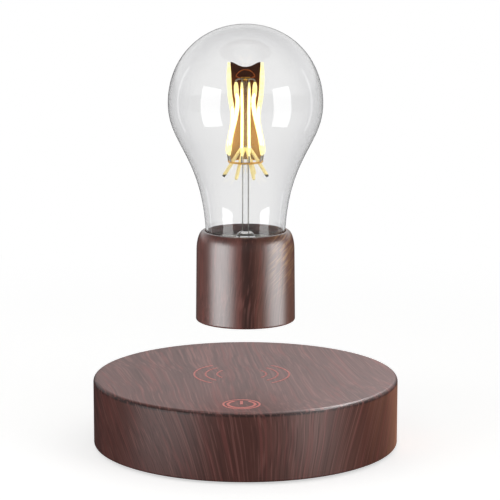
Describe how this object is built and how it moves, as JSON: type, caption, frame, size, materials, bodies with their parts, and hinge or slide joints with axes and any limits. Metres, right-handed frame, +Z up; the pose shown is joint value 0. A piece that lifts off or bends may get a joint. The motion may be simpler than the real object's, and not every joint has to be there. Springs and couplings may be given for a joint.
{
  "type": "levitating lamp",
  "caption": "Round wood-look base with a touch mark and a clear filament bulb in a wood-look cap that floats above it on magnets and turns freely.",
  "frame": {"origin": "on the table, under the middle of the base", "axes": "+Z up along the axis of base and bulb, -Y towards the touch mark at the front, +Y towards the inlet at the back"},
  "size_m": [0.12, 0.12, 0.1658],
  "materials": {
    "dark_wood": "satin dark walnut film",
    "black_plastic": "fine moulded texture",
    "white_plastic": "satin moulded",
    "rubber": "matt",
    "steel": "plated",
    "iron": "machined",
    "ferrite": "sintered",
    "plated_magnet": "nickel plated",
    "copper_winding": "enamelled wire",
    "circuit_board": "solder mask",
    "clear_glass": "clear blown",
    "gold_wire": "bright",
    "bronze": "dark satin",
    "lit_filament": "lit warm yellow silicone"
  },
  "bodies": {
    "base": {"base_shell": "dark_wood", "bottom_cover": "black_plastic", "foot_1": "rubber", "foot_2": "rubber", "foot_3": "rubber", "foot_4": "rubber", "cover_screw_1": "steel", "cover_screw_2": "steel", "cover_screw_3": "steel", "cover_screw_4": "steel", "main_board": "circuit_board", "module_carrier": "white_plastic", "module_screw_1": "steel", "module_screw_2": "steel", "module_screw_3": "steel", "module_screw_4": "steel", "ring_magnet": "plated_magnet", "coil_1": "copper_winding", "coil_2": "copper_winding", "coil_3": "copper_winding", "coil_4": "copper_winding", "coil_core_1": "iron", "coil_core_2": "iron", "coil_core_3": "iron", "coil_core_4": "iron", "hall_board": "circuit_board", "transmitter_coil": "copper_winding", "transmitter_ferrite": "ferrite", "touch_board": "circuit_board", "touch_lead": "black_plastic", "dc_jack": "black_plastic"},
    "floating_magnet": {"magnet_disc": "plated_magnet"},
    "floating_bulb": {"cap_shell": "dark_wood", "cap_bottom": "dark_wood", "receiver_coil": "copper_winding", "cap_frame": "white_plastic", "receiver_board": "circuit_board", "bulb_collar": "white_plastic", "glass_bulb": "clear_glass", "glass_stem": "clear_glass", "lead_wire_left": "steel", "lead_wire_right": "steel", "filament_hub": "gold_wire", "lower_ring": "gold_wire", "lower_spider": "gold_wire", "filament_plate": "bronze", "filament_left": "lit_filament", "filament_right": "lit_filament", "filament_front_left": "lit_filament", "filament_front_right": "lit_filament", "filament_front_middle_left": "lit_filament", "filament_front_middle_right": "lit_filament", "filament_back_left": "lit_filament", "filament_back_right": "lit_filament"}
  },
  "joints": [
    {"name": "float_lift", "type": "slide", "parent": "base", "child": "floating_magnet", "axis": [0, 0, 1], "range_m": [-0.0222, 0.06], "stiffness_N_per_m": 60, "springref_m": 0.0131},
    {"name": "float_spin", "type": "hinge", "parent": "floating_magnet", "child": "floating_bulb", "pos_m": [0, 0, 0.05], "axis": [0, 0, 1], "continuous": true}
  ]
}
